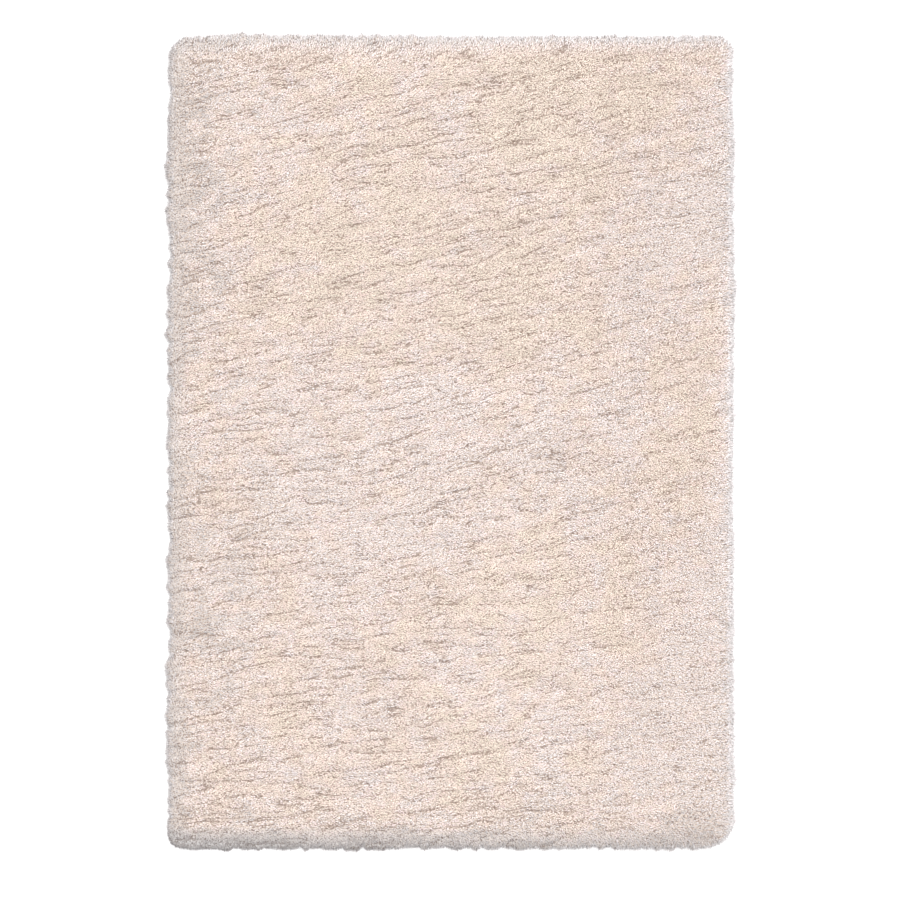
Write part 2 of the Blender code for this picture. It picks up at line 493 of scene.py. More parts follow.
@dataclass(frozen=True)
class HeatSetYarn:
    """Heat-set polypropylene pile yarn, spun and cut, undyed cream.

    The yarn is matt with a faint sheen on its side, a little darker and warmer at the root, where light comes
    only through its neighbours, and paler at the cut end. Every yarn has its own shade, because batches of
    fibre are mixed in spinning: from a cool to a warm cream.
    """

    name: str = "pile_yarn_heat_set_polypropylene"
    shades: tuple[tuple[float, str], ...] = (
        # The two greyest and darkest shades are painted shade, which only the rim and the shaded margins
        # reach.
        (0.00, "#DAD6D6"),
        (0.18, "#DFDAD9"),
        (0.29, "#F8F0F2"),
        (0.38, "#F8F3F0"),
        (0.47, "#FDEBED"),
        (0.58, "#F6F0E7"),
        (0.70, "#FDE9E4"),
        (0.84, "#F6EEE0"),
        (1.00, "#F5E4D8"),
    )
    # The root colours are painted shade, deep in the pile where light comes only through the neighbours; yarns
    # that lie deep take them over their whole length.
    root_cool: str = "#A3A1A4"
    root_warm: str = "#A7988C"
    root_share: float = 0.47
    roughness: float = 0.82
    specular: float = 0.20
    sheen: float = 0.06

    def material(self) -> Material:
        """Builds the material. It reads the yarn's own map: the shade along its first direction, and the way
        from root to tip along its second.

        Returns:
            The material.
        """
        plain = {"Roughness": self.roughness, "Specular IOR Level": self.specular, "Sheen Weight": self.sheen}
        material, tree, sockets = start_material(self.name, plain)
        place = add_node(tree, "ShaderNodeUVMap", uv_map=MAP_NAME)
        parts = add_node(tree, SEPARATE, {0: place}).node.outputs
        shade = add_node(tree, "ShaderNodeValToRGB", {0: parts[0]})
        stops = shade.node.color_ramp.elements
        while len(stops) < len(self.shades):
            stops.new(0.5)
        for stop, (at, colour) in zip(stops, self.shades):
            stop.position = at
            stop.color = linear(colour)
        # Painted root shade: the colour dims towards the root.
        root_end = YARN_MAP_LOW + YARN_MAP_SPAN * self.root_share
        lengthwise = {0: parts[1], 1: YARN_MAP_LOW, 2: root_end}
        along = add_node(tree, MAP_RANGE, lengthwise, interpolation_type="SMOOTHSTEP")
        roots = {0: parts[0], 6: linear(self.root_cool), 7: linear(self.root_warm)}
        root = add_node(tree, MIX, roots, data_type="RGBA")
        dimming = add_node(tree, MIX, {0: along, 6: root, 7: WHITE}, data_type="RGBA")
        colour = add_node(tree, VECTOR_MATH, {0: shade, 1: dimming}, operation="MULTIPLY")
        tree.links.new(colour, sockets["Base Color"])
        return material


@dataclass(frozen=True)
class PackedPile:
    """The same yarn where it stands packed, seen between the yarn ends.

    It is pale and combed in streaks, with painted shade: dark warm gaps between the yarns and in the creases,
    and a cool painted shade at the rim. The streaks are as wide as two strands, the finest that still shows
    from above the rug.
    """

    name: str = "packed_pile_roots"
    # The deep colour is painted shade, in the gaps between the yarns and in the creases.
    deep: str = "#75645A"
    shallow: str = "#C4B6AC"
    streak_mm: float = 2.8
    streak_stretch: float = 1.4
    gaps_end: float = 0.52
    gaps_start: float = 0.40
    # Painted crease shade: its width, its darkness and how ragged its edge is.
    crease_width: float = 0.0042
    crease_share: float = 0.65
    crease_raggedness: float = 0.010
    # Painted rim shade: a cool tint multiplied in at the rim.
    shade_tint: str = "#E6F3FF"
    shade_from: float = 0.15
    shade_to: float = 0.60
    roughness: float = 0.9
    relief: float = 0.002
    relief_strength: float = 0.8

    def material(self) -> Material:
        """Builds the material, with streaks that follow the way the pile lies.

        Returns:
            The material.
        """
        material, tree, sockets = start_material(self.name, {"Roughness": self.roughness})
        place = add_node(tree, "ShaderNodeTexCoord").node.outputs["Object"]
        size = 1 / (self.streak_mm / 1000)
        lengthwise = {0: place, 2: (0, 0, -COMB_ANGLE), 3: (size / self.streak_stretch, size, size)}
        combed = add_node(tree, "ShaderNodeMapping", lengthwise)
        streaks = add_node(tree, "ShaderNodeTexNoise", {0: combed, "Scale": 1.0, "Detail": 2.0})
        # The gaps between the streaks are painted shade.
        gaps = {0: streaks, 1: self.gaps_start, 2: self.gaps_end}
        between = add_node(tree, MAP_RANGE, gaps, interpolation_type="SMOOTHSTEP")
        creases, rim_shade = (
            add_node(tree, "ShaderNodeAttribute", attribute_name=label).node.outputs
            for label in ("creases", "rim_shade")
        )
        # The creases are painted darker, as shade, with ragged edges.
        far = add_node(tree, VECTOR_MATH, {0: creases["Vector"]}, operation="ABSOLUTE")
        sides = add_node(tree, SEPARATE, {0: far}).node.outputs
        nearest = add_node(tree, MATH, {0: sides[0], 1: sides[1]}, operation="MINIMUM")
        frayed = {0: streaks, 1: self.crease_raggedness, 2: nearest}
        ragged = add_node(tree, MATH, frayed, operation="MULTIPLY_ADD")
        middle = 0.5 * self.crease_raggedness
        sunk = {0: ragged, 1: middle, 2: middle + self.crease_width, 3: self.crease_share, 4: 0.0}
        crease = add_node(tree, MAP_RANGE, sunk, interpolation_type="SMOOTHSTEP")
        shadow = add_node(tree, MATH, {0: crease, 1: sides[2]}, operation="MULTIPLY")
        lit = add_node(tree, MATH, {0: between, 1: shadow}, operation="SUBTRACT", use_clamp=True)
        depths = {0: lit, 6: linear(self.deep), 7: linear(self.shallow)}
        colour = add_node(tree, MIX, depths, data_type="RGBA")
        # The rim is painted a cool shade.
        shaded = add_node(tree, MAP_RANGE, {0: rim_shade["Fac"], 1: self.shade_from, 2: self.shade_to})
        tint = {0: shaded, 6: colour, 7: linear(self.shade_tint)}
        rim_shaded = add_node(tree, MIX, tint, data_type="RGBA", blend_type="MULTIPLY")
        bumps = {"Height": streaks, "Distance": self.relief, "Strength": self.relief_strength}
        tree.links.new(rim_shaded, sockets["Base Color"])
        tree.links.new(add_node(tree, "ShaderNodeBump", bumps), sockets["Normal"])
        return material


@dataclass(frozen=True)
class WovenBacking:
    """Plain-woven jute and polypropylene backing cloth, cream, with a latex coat that holds the tufts: matt,
    with the raised crossings of its threads paler than the gaps between them."""

    name: str = "woven_backing_cloth"
    thread: str = "#D9CBB8"
    gap: str = "#A99883"
    thread_mm: float = 2.6
    roughness: float = 0.85
    relief: float = 0.0008
    relief_strength: float = 0.7

    def material(self) -> Material:
        """Builds the material: a plain weave of warp and weft at the spacing of the threads.

        Returns:
            The material.
        """
        material, tree, sockets = start_material(self.name, {"Roughness": self.roughness})
        place = add_node(tree, "ShaderNodeTexCoord").node.outputs["Object"]
        parts = add_node(tree, SEPARATE, {0: place}).node.outputs
        turn = math.pi / (self.thread_mm / 1000)
        waves = []
        for axis in (0, 1):
            angle = add_node(tree, MATH, {0: parts[axis], 1: turn}, operation="MULTIPLY")
            waves.append(add_node(tree, MATH, {0: angle}, operation="SINE"))
        crossing = add_node(tree, MATH, {0: waves[0], 1: waves[1]}, operation="MULTIPLY")
        height = add_node(tree, MATH, {0: crossing}, operation="ABSOLUTE")
        threads = {0: height, 6: linear(self.gap), 7: linear(self.thread)}
        bumps = {"Height": height, "Distance": self.relief, "Strength": self.relief_strength}
        tree.links.new(add_node(tree, MIX, threads, data_type="RGBA"), sockets["Base Color"])
        tree.links.new(add_node(tree, "ShaderNodeBump", bumps), sockets["Normal"])
        return material


# ---------------------------------------------------------------------------------------------------------
# The rug's sub-assemblies
# ---------------------------------------------------------------------------------------------------------


def dress(piece: Object, material: Material | None = None) -> None:
    """Makes a piece ride with the rug and stand for its solid.

    Args:
        piece: the piece.
        material: its material, unless it has one.
    """
    if material is not None:
        piece.data.materials.clear()
        piece.data.materials.append(material)
    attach(piece, BODY)
    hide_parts(NODE)
    log.info("%s: %d faces", piece.name, len(piece.data.polygons))


@dataclass
class Backing:
    """The thin cloth that the pile is tufted into."""

    finish: WovenBacking = WovenBacking()
    width: float = 1.578
    length: float = 2.278
    thickness: float = 0.003
    corner_radius: float = 0.055
    corner_steps: int = 8

    def outline(self) -> list[tuple[float, float]]:
        """The cloth's edge, counter-clockwise, with rounded corners.

        Returns:
            The points of the outline.
        """
        points = []
        for turn, (side_x, side_y) in enumerate(((1, 1), (-1, 1), (-1, -1), (1, -1))):
            centre_x = side_x * (self.width / 2 - self.corner_radius)
            centre_y = side_y * (self.length / 2 - self.corner_radius)
            for step in range(self.corner_steps + 1):
                angle = math.pi / 2 * (turn + step / self.corner_steps)
                x = centre_x + self.corner_radius * math.cos(angle)
                y = centre_y + self.corner_radius * math.sin(angle)
                points.append((x, y))
        return points

    def build(self) -> Object:
        """Builds the cloth as a closed thin sheet.

        Returns:
            The cloth.
        """
        bm = bmesh.new()
        below, above = ([bm.verts.new((*at, z)) for at in self.outline()] for z in (0.0, self.thickness))
        bm.faces.new(below[::-1])
        bm.faces.new(above)
        join_rings(bm, below, above)
        mesh = bpy.data.meshes.new("backing")
        bm.to_mesh(mesh)
        bm.free()
        piece = add_object("backing", mesh)
        dress(piece, self.finish.material())
        return piece


@dataclass
class PileBed:
    """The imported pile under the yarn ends: a closed lumpy slab, a little inside the level of the tips, and a
    little fuller at the head and the foot than at the sides."""

    form: PileForm
    finish: PackedPile = PackedPile()
    depth_under_tips: float = 0.006
    full_left: float = 0.008
    full_right: float = 0.0115
    full_head: float = 0.016
    full_foot: float = 0.010
    scallop: float = 0.005
    scallop_length: float = 0.020
    ruffle_growth: float = 1.6
    ruffle_left: float = 0.8
    ruffle_foot: float = 1.3
    ruffle_corner_calm: float = 1.4
    foot: float = 0.002
    foot_in: float = 0.007
    wall_steps: tuple[tuple[float, float], ...] = ((0.25, 0.55), (1.0, 0.0))
    wall_growth: float = 0.3
    cells_across: int = 100
    cells_along: int = 400
    rim_steps: tuple[float, ...] = (0.0, 0.04, 0.10, 0.18, 0.29, 0.43, 0.60, 0.80)
    strip_edges: tuple[float, ...] = (-0.4, 0.0, 0.4)
    comb_lead: float = math.radians(3)
    comb_hang: float = 0.5
    fan_left: float = 0.028
    fan_right: float = 0.060
    fan_head: float = 0.070
    fan_foot: float = 0.060
    fan_softness: float = 1.3
    rim_starts: float = 0.42
    # How much painted shade each side of the rim gets, darkening its yarns to their root's shade, and how it
    # fades inwards.
    foot_rim_shade: float = 0.52
    foot_rim_shade_lean: float = 0.38
    left_rim_shade: float = 0.36
    head_rim_shade: float = 0.31
    right_rim_shade: float = 0.03
    rim_shade_fade: float = 0.20
    tips_seen: Vector = Vector((0.45, 0.89, 0.0))
    least_growth: float = 0.45

    # How warm the cream is, and where it is greyer or paler: greyer and darker at the left side and the foot,
    # as painted shade, and paler at the lower right.
    warmth: float = 0.62
    warmth_at_head: float = 0.10
    least_warmth: float = 0.26
    patch_share: float = 0.57
    patches: tuple[Patches, ...] = (
        Patches(1.0, layer=11.0, size=0.45),
        Patches(1.0, layer=5.0, size=0.12),
        Patches(1.2, layer=17.0, size=0.040),
    )
    painted_shade_left: Zone = Zone(0.52, x=-RIM_X, over_x=0.16)
    painted_shade_brim: Zone = Zone(0.30, x=-RIM_X, over_x=0.035)
    painted_shade_foot: Zone = Zone(0.62, y=-RIM_Y, over_y=0.11)
    painted_shade_foot_lean: float = 0.25
    pale_right: Zone = Zone(0.42, x=RIM_X, over_x=0.24)
    pale_middle: float = 0.6
    pale_climb: float = 1.2
    # The rim's painted shade: how far its warmth falls to the grey, darker end of the yarn's shades, and how
    # fast that fades inwards.
    rim_shading: float = 1.3
    rim_shading_fade: float = 0.8

    # The share of yarns that lie deep and are painted in their root's shade, and where there are more or, at
    # the lower right, fewer; the zones at the foot, the head and the left side add painted shade along those
    # edges.
    pitted: float = 0.055
    pitted_zones: tuple[Zone, ...] = (
        Zone(0.12, x=0.42, over_x=0.42, y=0.58, over_y=0.55),
        Zone(-0.06, x=0.60, over_x=0.45, y=-0.65, over_y=0.60),
        Zone(0.22, y=0.075 - RIM_Y, over_y=0.055),
        Zone(0.16, y=RIM_Y - 0.036, over_y=0.028),
        Zone(0.14, x=-RIM_X, over_x=0.22),
    )
    pitted_drift: float = 0.26
    pitted_length: float = 0.40
    pitted_pitch: float = 0.26

    def grid_lines(self, reach: float, cells: int) -> list[float]:
        """Places of the grid's lines from one edge to the other, close together where the pile rolls over.

        Args:
            reach: from the middle to the edge.
            cells: how many cells lie between the rolled-over edges.

        Returns:
            The places.
        """
        rim = [share * self.form.roll_over for share in self.rim_steps]
        span = 2 * (reach - self.form.roll_over)
        inner = [self.form.roll_over + span * step / cells for step in range(cells + 1)]
        return [place - reach for place in rim + inner] + [reach - place for place in reversed(rim)]

    def comb(self, x: float, y: float) -> Vector:
        """The direction in which the pile lies at a place, from root to tip: with the lie, but fanned out
        and hanging at the rim.

        Args:
            x, y: the place across and along the rug.

        Returns:
            The direction.
        """
        angle = self.form.lie_angle(x, y) + self.comb_lead
        reach_x = self.fan_right if x > 0 else self.fan_left
        reach_y = self.fan_head if y > 0 else self.fan_foot
        out = self.form.outward(x, y, reach_x, reach_y)
        if out.length > 1e-6:
            turn = (math.atan2(out.y, out.x) - angle + math.pi) % math.tau - math.pi
            angle += turn * out.length**self.fan_softness
        hang = max(self.form.edge_share(x, y, self.form.roll_over, self.form.roll_over)) ** 2
        return Vector((math.cos(angle), math.sin(angle), -self.comb_hang * hang)).normalized()

    def marks(self, x: float, y: float, roll: float, out: Vector) -> dict[str, float | Vector]:
        """What the yarn ends need to know about a place: which way the pile lies, how near the edge it is, how
        warm its shade is, with the painted shade of the rim and the margins in it, how many yarns lie deep
        there, how tousled they are, where the creases are, and how much painted shade the rim gets.

        Args:
            x, y: the place across and along the rug.
            roll: how far the pile has risen from the widest line to its top.
            out: the direction out of the rug.

        Returns:
            Each value by its name.
        """
        lie = self.form.lie(x, y)
        tousled = self.form.tousled(x)
        wide, fine = (ripple.aside(lie) for ripple in self.form.ripples)
        gape = self.form.crease_open(lie) * (1 - self.form.tousle_close * tousled)
        shown = self.rim_shade_shown(out, x)
        # Painted rim shade: the rolled-over rim goes to the grey, darker end of the yarn's shades.
        rim_warmth = max(0.0, 1 - (self.rim_shading + shown) * (1 - roll) ** self.rim_shading_fade)
        return {
            "comb": self.comb(x, y),
            "edge": 1 - roll,
            "warmth": self.zone_warmth(x, y) * rim_warmth,
            "fringe": (1 - roll) * self.side_growth(out),
            "pitting": self.pitting(x, y) * roll**3,
            "rim_shade": shown * (1 - roll) ** self.rim_shade_fade,
            "tousled": tousled,
            "lie": lie,
            "creases": Vector((wide, fine, gape)),
        }

    def mesh(self) -> Mesh:
        """Builds the slab, marked with what the yarn ends need to know about each place on it, and with which
        strip each face belongs to and whether it is at the rim.

        Returns:
            The mesh.
        """
        form = self.form
        lines_x = self.grid_lines(RIM_X, self.cells_across)
        lines_y = self.grid_lines(RIM_Y, self.cells_along)
        last_column = len(lines_x) - 1
        last_row = len(lines_y) - 1
        bm = bmesh.new()
        bmesh.ops.create_grid(bm, x_segments=last_column, y_segments=last_row, size=1.0)
        values = ("edge", "warmth", "fringe", "pitting", "rim_shade", "tousled")
        layers = {label: bm.verts.layers.float.new(label) for label in values}
        layers |= {label: bm.verts.layers.float_vector.new(label) for label in ("comb", "lie", "creases")}
        for vert in bm.verts:
            flat_x = lines_x[round((vert.co.x + 1) / 2 * last_column)]
            flat_y = lines_y[round((vert.co.y + 1) / 2 * last_row)]
            flat_y += form.bank_climb * flat_x * (1 - (flat_y / RIM_Y) ** 2)
            inward = min(RIM_X - abs(flat_x), RIM_Y - abs(flat_y))
            roll = math.sqrt(1 - (1 - min(inward / form.roll_over, 1)) ** 2)
            x, y = form.round_corners(flat_x, flat_y)
            top = form.dressed_level(x, y) - self.depth_under_tips
            level = form.widest_level + roll * (top - form.widest_level)
            out = form.outward(x, y, form.roll_over, form.roll_over)
            vert.co = Vector((x, y, level)) + self.swelling(x, y, out) * (1 - roll) * out
            for label, value in self.marks(x, y, roll, out).items():
                vert[layers[label]] = value
        verts = list(bm.verts)
        rows = [verts[start : start + len(lines_x)] for start in range(0, len(verts), len(lines_x))]
        right = [row[-1] for row in rows[1:-1]]
        left = [row[0] for row in rows[-2:0:-1]]
        self.close_below(bm, layers, rows[0] + right + rows[-1][::-1] + left)
        strip = bm.faces.layers.int.new("strip")
        rim = bm.faces.layers.int.new("rim")
        bm.normal_update()
        for face in bm.faces:
            middle = face.calc_center_median()
            bare = face.normal.z < -0.8
            face[strip] = -1 if bare else sum(middle.x > side for side in self.strip_edges)
            near = min(vert[layers["edge"]] for vert in face.verts)
            face[rim] = int(near > self.rim_starts and not bare)
        mesh = bpy.data.meshes.new("pile_bed")
        bm.to_mesh(mesh)
        bm.free()
        mesh.shade_smooth()
        return mesh

    def swelling(self, x: float, y: float, out: Vector) -> float:
        """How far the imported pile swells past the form's widest line: fuller at one side than at another, in
        long waves, and ruffled, least at the right and in the corners.

        Args:
            x, y: the place across and along the rug.
            out: the direction out of the rug.

        Returns:
            The distance.
        """
        side = self.full_right if out.x > 0 else self.full_left
        end = self.full_head if out.y > 0 else self.full_foot
        share = out.x**2 / max(out.length_squared, 1e-9)
        fullness = side * share + end * (1 - share)
        wave = self.form.edge_wave * noise.noise(Vector((x, y, 0.0)) / self.form.edge_wave_length)
        most_ruffled = max(-self.ruffle_left * out.x, out.y, -self.ruffle_foot * out.y)
        ruffle = self.scallop * (1 + self.ruffle_growth * most_ruffled)
        ruffle *= 1 - self.ruffle_corner_calm * abs(out.x * out.y)
        return fullness + wave + ruffle * noise.noise(Vector((x, y, 40.0)) / self.scallop_length)

    def zone_warmth(self, x: float, y: float) -> float:
        """How warm the cream is at a place: 0 is the coolest and 1 the warmest. The left side, its rim and the
        foot are painted in shade, by going down towards the grey, darker end.

        Args:
            x, y: the place across and along the rug.

        Returns:
            The warmth.
        """
        patch = sum(patches.at(x, y) for patches in self.patches)
        pale = self.pale_right.at(x, y) * min(1.0, max(0.0, self.pale_middle - self.pale_climb * y))
        climb = self.warmth_at_head * y / (0.5 * RUG_LENGTH)
        warmth = max(self.least_warmth, self.warmth + climb + self.patch_share * patch - pale)
        # Painted shade: the left side, its rim and the foot go greyer and darker.
        foot = self.painted_shade_foot.at(x, y) * (1 - self.painted_shade_foot_lean * (1 + x / RIM_X))
        margin_shade = max(self.painted_shade_left.at(x, y) + self.painted_shade_brim.at(x, y), foot)
        return min(1.0, max(0.0, warmth - margin_shade))

    def pitting(self, x: float, y: float) -> float:
        """The share of yarns that lie deep between the others at a place.

        Args:
            x, y: the place across and along the rug.

        Returns:
            The share, from 0 to 1.
        """
        drift = noise.noise(Vector((x / self.pitted_length, y / self.pitted_pitch, 61.0)))
        zones = sum(zone.at(x, y) for zone in self.pitted_zones)
        return max(0.0, self.pitted + zones + self.pitted_drift * drift)

    def rim_shade_shown(self, out: Vector, x: float) -> float:
        """How much painted shade the yarns at the rim get, which darkens them to their root's shade: most at
        the foot, less at the left and the head, and least at the right.

        Args:
            out: the direction out of the rug.
            x: the place across the rug.

        Returns:
            The share, from 0 to 1.
        """
        if out.length < 1e-6:
            return 0.0
        side = out.normalized()
        across = (self.right_rim_shade if side.x > 0 else self.left_rim_shade) * abs(side.x)
        foot_here = self.foot_rim_shade * (1 - self.foot_rim_shade_lean * x / RIM_X)
        return across + (self.head_rim_shade if side.y > 0 else foot_here) * abs(side.y)

    def side_growth(self, out: Vector) -> float:
        """How much longer the yarns stand out at this side: the pile lies to the right and up the rug, so its
        tips show there, and the bends of its yarns show at the other two sides.

        Args:
            out: the direction out of the rug.

        Returns:
            The growth, 1 at the head.
        """
        if out.length < 1e-6:
            return 0.0
        return self.least_growth + (1 - self.least_growth) * max(0.0, out.normalized().dot(self.tips_seen))

    def close_below(self, bm: BMesh, layers: dict[str, object], rim: list[BMVert]) -> None:
        """Takes the side from the widest line down to the backing and closes the underside. Its faces are
        made in a fixed order, which the scattered yarns follow, so every run gives the same pile.

        Args:
            bm: the slab, open below.
            layers: the layers with what the yarn ends need to know, by name.
            rim: the vertices of its widest line, counter-clockwise from above.
        """
        for share, level in self.wall_steps:
            lower = []
            for upper in rim:
                out = self.form.outward(upper.co.x, upper.co.y, self.form.roll_over, self.form.roll_over)
                vert = bm.verts.new(upper.co - self.foot_in * share * out, upper)
                vert.co.z = self.foot + level * (self.form.widest_level - self.foot)
                vert[layers["comb"]] = (out - self.comb_hang * UP).normalized()
                vert[layers["edge"]] = 1.0
                vert[layers["fringe"]] = self.wall_growth
                vert[layers["rim_shade"]] = self.rim_shade_shown(out, upper.co.x)
                lower.append(vert)
            join_rings(bm, lower, rim)
            rim = lower
        bm.faces.new(rim[::-1])

    def build(self) -> Object:
        """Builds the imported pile.

        Returns:
            The slab.
        """
        piece = add_object("pile_bed", self.mesh())
        dress(piece, self.finish.material())
        return piece


class Stand(Enum):
    """Where the yarns of a scatter stand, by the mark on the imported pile's faces."""

    STRIP = "strip"
    RIM = "rim"


@dataclass(frozen=True)
class YarnSizes:
    """What the yarn ends of one scatter measure, in metres and radians."""

    spacing: float
    crowd: float
    shortest: float
    longest: float
    width: float
    spread: float
    rise_low: float
    rise_high: float
    sink: float
    droop: float
    edge_growth: float
    sheaf: float
    sheaf_turn: float
    sheaf_rise: float
    sheaf_growth: float
    # Along the creases and low in their sheaves, yarns lie deep: they sink and shorten, and are painted in
    # their root's shade.
    crease_width: float = 0.0060
    crease_reach: float = 0.007
    crease_odds: float = 0.70
    crease_sink: float = 0.0015
    crease_short: float = -0.25
    crease_hold: float = 0.7
    low_share: float = 0.15
    low_from: float = -0.04
    low_to: float = -0.20
    thinnest: float = 0.75
    thickest: float = 1.25
    tousle: float = math.radians(22)
    tousle_rise: float = math.radians(8)
    batch_share: float = 0.24
    # How much of the painted root shade shows at a yarn's root: 1 for all of it.
    root_shown: float = 1.0


@dataclass
class YarnScatter:
    """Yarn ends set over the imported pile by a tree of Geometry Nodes."""

    name: str
    sizes: YarnSizes
    stand: Stand
    part: int
    seed: int
    sheaf_stretch: float = 1.0
    # How much of a deep yarn's length is painted in its root's shade.
    deep_dimming: float = 0.95
    sides: int = 3
    floor_gap: float = 0.0006
    markings: tuple[str, ...] = (
        "comb", "edge", "warmth", "fringe", "pitting", "rim_shade", "tousled", "lie",
        "creases", "strip", "rim", "shade", "deep", "along", "corner",
    )
    inputs: dict[str, str] = field(default_factory=dict)

    def tree(self, material: Material) -> NodeTree:
        """Builds the tree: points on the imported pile, a yarn end on each, turned the way the pile lies.

        Args:
            material: the yarn's material.

        Returns:
            The tree, with a named input for each size.
        """
        tree = bpy.data.node_groups.new(self.name, "GeometryNodeTree")
        tree.interface.new_socket("Geometry", in_out="INPUT", socket_type="NodeSocketGeometry")
        kinds = dict.fromkeys(vars(self.sizes), "NodeSocketFloat")
        kinds |= dict.fromkeys(("part", "seed"), "NodeSocketInt")
        for label, kind in kinds.items():
            self.inputs[label] = tree.interface.new_socket(label, in_out="INPUT", socket_type=kind).identifier
        tree.interface.new_socket("Geometry", in_out="OUTPUT", socket_type="NodeSocketGeometry")
        given = add_node(tree, "NodeGroupInput").node.outputs

        standing = add_node(tree, NAMED, {0: self.stand.value}, data_type="INT")
        here = {2: standing, 3: given["part"]}
        spread = {
            "Mesh": given["Geometry"],
            "Selection": add_node(tree, "FunctionNodeCompare", here, data_type="INT", operation="EQUAL"),
            "Distance Min": given["spacing"],
            "Density Max": given["crowd"],
            "Seed": given["seed"],
        }
        points = add_node(tree, "GeometryNodeDistributePointsOnFaces", spread, distribute_method="POISSON")
        normal = points.node.outputs["Normal"]

        # Yarns that stand together fall together, in sheaves.
        lie = add_node(tree, NAMED, {0: "lie"}, data_type="FLOAT_VECTOR")
        stretch = (self.sheaf_stretch, 1.0, 1.0)
        stretched = add_node(tree, VECTOR_MATH, {0: lie, 1: stretch}, operation="MULTIPLY")
        fine = add_node(tree, MATH, {0: 1.0, 1: given["sheaf"]}, operation="DIVIDE")
        pattern = {"Vector": stretched, "Scale": fine, "Detail": 1.0, "Roughness": 0.4}
        sheaves = add_node(tree, "ShaderNodeTexNoise", pattern).node.outputs["Color"]
        centred = add_node(tree, VECTOR_MATH, {0: sheaves, 1: (0.5, 0.5, 0.5)}, operation="SUBTRACT")
        sheaf = add_node(tree, SEPARATE, {0: centred}).node.outputs
        # Yarns that lie deep are painted in their root's shade on the map.
        deep = self.deep_share(tree, sheaf[1], given)

        # Its shade comes from the zone it stands in, which holds the painted shade of the rim and the margins,
        # and from its own batch of fibre.
        warmth = add_node(tree, NAMED, {0: "warmth"}, data_type="FLOAT")
        batch = add_node(tree, RANDOM, {2: 0.0, 3: 1.0, "Seed": 71}, data_type="FLOAT")
        shade = add_node(tree, MIX, {0: given["batch_share"], 2: warmth, 3: batch}, data_type="FLOAT")
        for label, value in (("shade", shade), ("deep", deep)):
            kept = {"Geometry": points, "Name": label, "Value": value}
            points = add_node(tree, STORE, kept, data_type="FLOAT", domain="POINT")

        sinking = {0: deep, 1: given["crease_sink"], 2: given["sink"]}
        fallen = add_node(tree, MATH, sinking, operation="MULTIPLY_ADD")
        down = add_node(tree, MATH, {0: fallen, 1: -1.0}, operation="MULTIPLY")
        sunk = add_node(tree, VECTOR_MATH, {0: normal, "Scale": down}, operation="SCALE")
        yarns = {
            "Points": add_node(tree, "GeometryNodeSetPosition", {"Geometry": points, "Offset": sunk}),
            "Instance": self.yarn_end(tree),
            "Rotation": self.lay(tree, normal, sheaf, given),
            "Scale": self.measure(tree, sheaf, deep, given),
        }
        placed = add_node(tree, "GeometryNodeInstanceOnPoints", yarns)
        real = add_node(tree, "GeometryNodeRealizeInstances", {"Geometry": placed})
        resting = self.let_droop(tree, self.map_yarns(tree, real), given["droop"])
        smooth = add_node(tree, "GeometryNodeSetShadeSmooth", {"Geometry": resting})
        made = add_node(tree, "GeometryNodeSetMaterial", {"Geometry": smooth, "Material": material})
        add_node(tree, "NodeGroupOutput", {0: made})
        return tree

    def lay(self, tree: NodeTree, normal: NodeSocket, sheaf: NodeOutputs, given: NodeOutputs) -> NodeSocket:
        """Finds which way a yarn lies: with the pile, a little to either side of it, and raised off the bed.

        Args:
            tree: the tree that gets the nodes.
            normal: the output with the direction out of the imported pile.
            sheaf: the three outputs that tell how the yarn's sheaf falls.
            given: the tree's inputs.

        Returns:
            The output with the yarn's rotation.
        """
        comb = add_node(tree, NAMED, {0: "comb"}, data_type="FLOAT_VECTOR")
        edge = add_node(tree, NAMED, {0: "edge"}, data_type="FLOAT")
        tousled = add_node(tree, NAMED, {0: "tousled"}, data_type="FLOAT")
        loose = {0: tousled, 1: given["tousle"], 2: given["spread"]}
        wider = add_node(tree, MATH, loose, operation="MULTIPLY_ADD")
        left = add_node(tree, MATH, {0: wider, 1: -1.0}, operation="MULTIPLY")
        own_turn = add_node(tree, RANDOM, {2: left, 3: wider, "Seed": 11}, data_type="FLOAT")
        together = {0: sheaf[0], 1: given["sheaf_turn"], 2: own_turn}
        turn = add_node(tree, MATH, together, operation="MULTIPLY_ADD")
        held = add_node(tree, MATH, {0: 1.0, 1: given["crease_hold"]}, operation="SUBTRACT")
        beside = {0: self.crease_near(tree)[0], 1: 0.0, 2: given["crease_reach"], 3: held}
        let_go = add_node(tree, MAP_RANGE, beside)
        whole_turn = add_node(tree, MATH, {0: turn, 1: let_go}, operation="MULTIPLY")
        about = {"Vector": comb, "Axis": normal, "Angle": whole_turn}
        turned = add_node(tree, "ShaderNodeVectorRotate", about, rotation_type="AXIS_ANGLE")
        off_bed = add_node(tree, VECTOR_MATH, {0: turned, 1: normal}, operation="DOT_PRODUCT")
        inside = add_node(tree, MATH, {0: 1.0, 1: edge}, operation="SUBTRACT")
        off_inside = add_node(tree, MATH, {0: off_bed, 1: inside}, operation="MULTIPLY")
        upright = add_node(tree, VECTOR_MATH, {0: normal, "Scale": off_inside}, operation="SCALE")
        lying = add_node(tree, VECTOR_MATH, {0: turned, 1: upright}, operation="SUBTRACT")
        level = add_node(tree, VECTOR_MATH, {0: lying}, operation="NORMALIZE")
        rises = {2: given["rise_low"], 3: given["rise_high"], "Seed": 23}
        own_rise = {0: sheaf[1], 1: given["sheaf_rise"], 2: add_node(tree, RANDOM, rises, data_type="FLOAT")}
        rise = add_node(tree, MATH, own_rise, operation="MULTIPLY_ADD")
        ruffled = {0: tousled, 1: given["tousle_rise"], 2: rise}
        raised = add_node(tree, MATH, ruffled, operation="MULTIPLY_ADD")
        share_level = add_node(tree, MATH, {0: raised}, operation="COSINE")
        share_up = add_node(tree, MATH, {0: raised}, operation="SINE")
